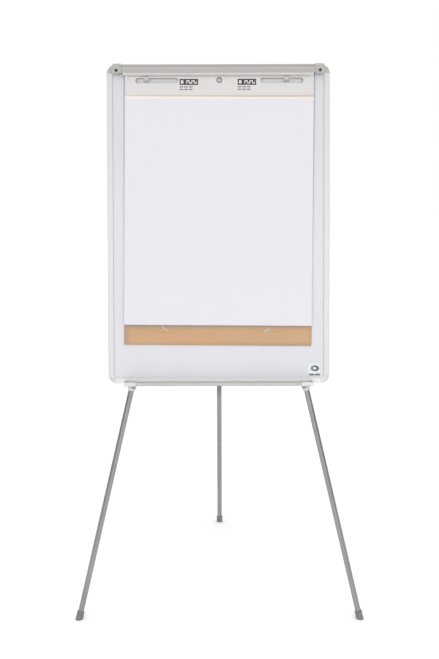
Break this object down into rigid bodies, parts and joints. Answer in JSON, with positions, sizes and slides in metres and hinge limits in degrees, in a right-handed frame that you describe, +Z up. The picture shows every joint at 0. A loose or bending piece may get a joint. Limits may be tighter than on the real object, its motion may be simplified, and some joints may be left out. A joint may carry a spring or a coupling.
{
  "type": "flipchart easel",
  "caption": "Leaning whiteboard on a telescopic tripod, with a hung paper pad, a sprung clamp bar, sliding pad hooks and a pen tray.",
  "frame": {"origin": "middle of the footprint at floor level, under the bounding box", "axes": "+Z up, +X to the viewer's right, board facing -Y; the board leans back 10 degrees"},
  "size_m": [0.9318, 0.7505, 1.7477],
  "materials": {
    "frame_aluminium": "satin anodised",
    "clamp_aluminium": "satin anodised, warm grey",
    "tray_aluminium": "satin anodised",
    "leg_aluminium": "satin anodised, mid grey",
    "white_enamel": "gloss white enamel",
    "back_steel": "grey lacquer",
    "bracket_steel": "grey powder coat",
    "plated_steel": "zinc plated",
    "fibreboard": "raw board",
    "cap_plastic": "fine texture, grey",
    "collar_plastic": "light grey",
    "hook_plastic": "light grey",
    "grip_plastic": "soft white",
    "black_plastic": "black",
    "foot_rubber": "dark grey",
    "pad_paper": "plain white",
    "pad_board": "kraft grey board",
    "label_film": "pale label"
  },
  "bodies": {
    "board": {"writing_panel": "white_enamel", "panel_core": "fibreboard", "back_sheet": "back_steel", "frame_left": "frame_aluminium", "frame_right": "frame_aluminium", "frame_top": "frame_aluminium", "frame_bottom": "frame_aluminium", "corner_cap_top_left": "cap_plastic", "corner_cap_top_right": "cap_plastic", "corner_cap_bottom_left": "cap_plastic", "corner_cap_bottom_right": "cap_plastic", "pen_tray": "tray_aluminium", "tray_end_left": "collar_plastic", "tray_end_right": "collar_plastic", "tray_screws": "plated_steel", "hook_rail": "frame_aluminium", "clamp_pivot_blocks": "cap_plastic", "clamp_pivot_pins": "plated_steel", "clamp_springs": "plated_steel", "tripod_head": "bracket_steel", "head_screws": "plated_steel", "front_pivot_bolts": "plated_steel", "front_pivot_nuts": "plated_steel", "rear_pivot_pin": "plated_steel", "leg_stop_left": "bracket_steel", "leg_stop_right": "bracket_steel", "leg_stop_screws": "plated_steel", "pad_backing_board": "pad_board", "pad_sheets": "pad_paper", "pad_binding": "pad_paper", "corner_label": "label_film"},
    "clamp": {"clamp_bar": "clamp_aluminium", "clamp_grip": "grip_plastic", "clamp_end_left": "cap_plastic", "clamp_end_right": "cap_plastic", "clamp_end_screws": "black_plastic"},
    "left_hook": {"hook_left": "hook_plastic"},
    "right_hook": {"hook_right": "hook_plastic"},
    "front_left_upper_leg": {"front_left_outer_tube": "leg_aluminium", "front_left_top_plug": "black_plastic", "front_left_collar": "collar_plastic"},
    "front_left_lower_leg": {"front_left_inner_tube": "leg_aluminium", "front_left_guide_bush": "black_plastic", "front_left_rubber_foot": "foot_rubber"},
    "front_left_lock": {"front_left_thumb_screw": "black_plastic"},
    "front_right_upper_leg": {"front_right_outer_tube": "leg_aluminium", "front_right_top_plug": "black_plastic", "front_right_collar": "collar_plastic"},
    "front_right_lower_leg": {"front_right_inner_tube": "leg_aluminium", "front_right_guide_bush": "black_plastic", "front_right_rubber_foot": "foot_rubber"},
    "front_right_lock": {"front_right_thumb_screw": "black_plastic"},
    "rear_upper_leg": {"rear_outer_tube": "leg_aluminium", "rear_top_plug": "black_plastic", "rear_collar": "collar_plastic"},
    "rear_lower_leg": {"rear_inner_tube": "leg_aluminium", "rear_guide_bush": "black_plastic", "rear_rubber_foot": "foot_rubber"},
    "rear_lock": {"rear_thumb_screw": "black_plastic"}
  },
  "joints": [
    {"name": "clamp_lift", "type": "hinge", "parent": "board", "child": "clamp", "pos_m": [0, -0.09768, 1.73618], "axis": [-1, 0, 0], "range_deg": [0, 35], "stiffness_Nm_per_rad": 0.15, "springref_deg": -45.84},
    {"name": "left_hook_slide", "type": "slide", "parent": "board", "child": "left_hook", "axis": [1, 0, 0], "range_m": [-0.018, 0.083]},
    {"name": "right_hook_slide", "type": "slide", "parent": "board", "child": "right_hook", "axis": [1, 0, 0], "range_m": [-0.066, 0.035]},
    {"name": "front_left_leg_splay", "type": "hinge", "parent": "board", "child": "front_left_upper_leg", "pos_m": [-0.059, -0.06871, 1.67014], "axis": [0, -0.9848, 0.1736], "range_deg": [0, 13.1]},
    {"name": "front_left_leg_telescope", "type": "slide", "parent": "front_left_upper_leg", "child": "front_left_lower_leg", "axis": [-0.2267, -0.1691, -0.9592], "range_m": [-0.728, 0.05]},
    {"name": "front_left_lock_turn", "type": "hinge", "parent": "front_left_upper_leg", "child": "front_left_lock", "pos_m": [-0.27356, -0.24485, 0.74427], "axis": [0.3331, -0.9389, 0.0868], "range_deg": [0, 360]},
    {"name": "front_right_leg_splay", "type": "hinge", "parent": "board", "child": "front_right_upper_leg", "pos_m": [0.059, -0.06871, 1.67014], "axis": [0, 0.9848, -0.1736], "range_deg": [0, 13.1]},
    {"name": "front_right_leg_telescope", "type": "slide", "parent": "front_right_upper_leg", "child": "front_right_lower_leg", "axis": [0.2267, -0.1691, -0.9592], "range_m": [-0.728, 0.05]},
    {"name": "front_right_lock_turn", "type": "hinge", "parent": "front_right_upper_leg", "child": "front_right_lock", "pos_m": [0.27356, -0.24485, 0.74427], "axis": [-0.3331, -0.9389, 0.0868], "range_deg": [0, 360]},
    {"name": "rear_leg_swing", "type": "hinge", "parent": "board", "child": "rear_upper_leg", "pos_m": [0, -0.06575, 1.66962], "axis": [-1, 0, 0], "range_deg": [0, 24.4]},
    {"name": "rear_leg_telescope", "type": "slide", "parent": "rear_upper_leg", "child": "rear_lower_leg", "axis": [0, 0.2487, -0.9686], "range_m": [-0.71, 0.05]},
    {"name": "rear_lock_turn", "type": "hinge", "parent": "rear_upper_leg", "child": "rear_lock", "pos_m": [0, 0.18768, 0.73684], "axis": [0, 0.9686, 0.2487], "range_deg": [0, 360]}
  ]
}
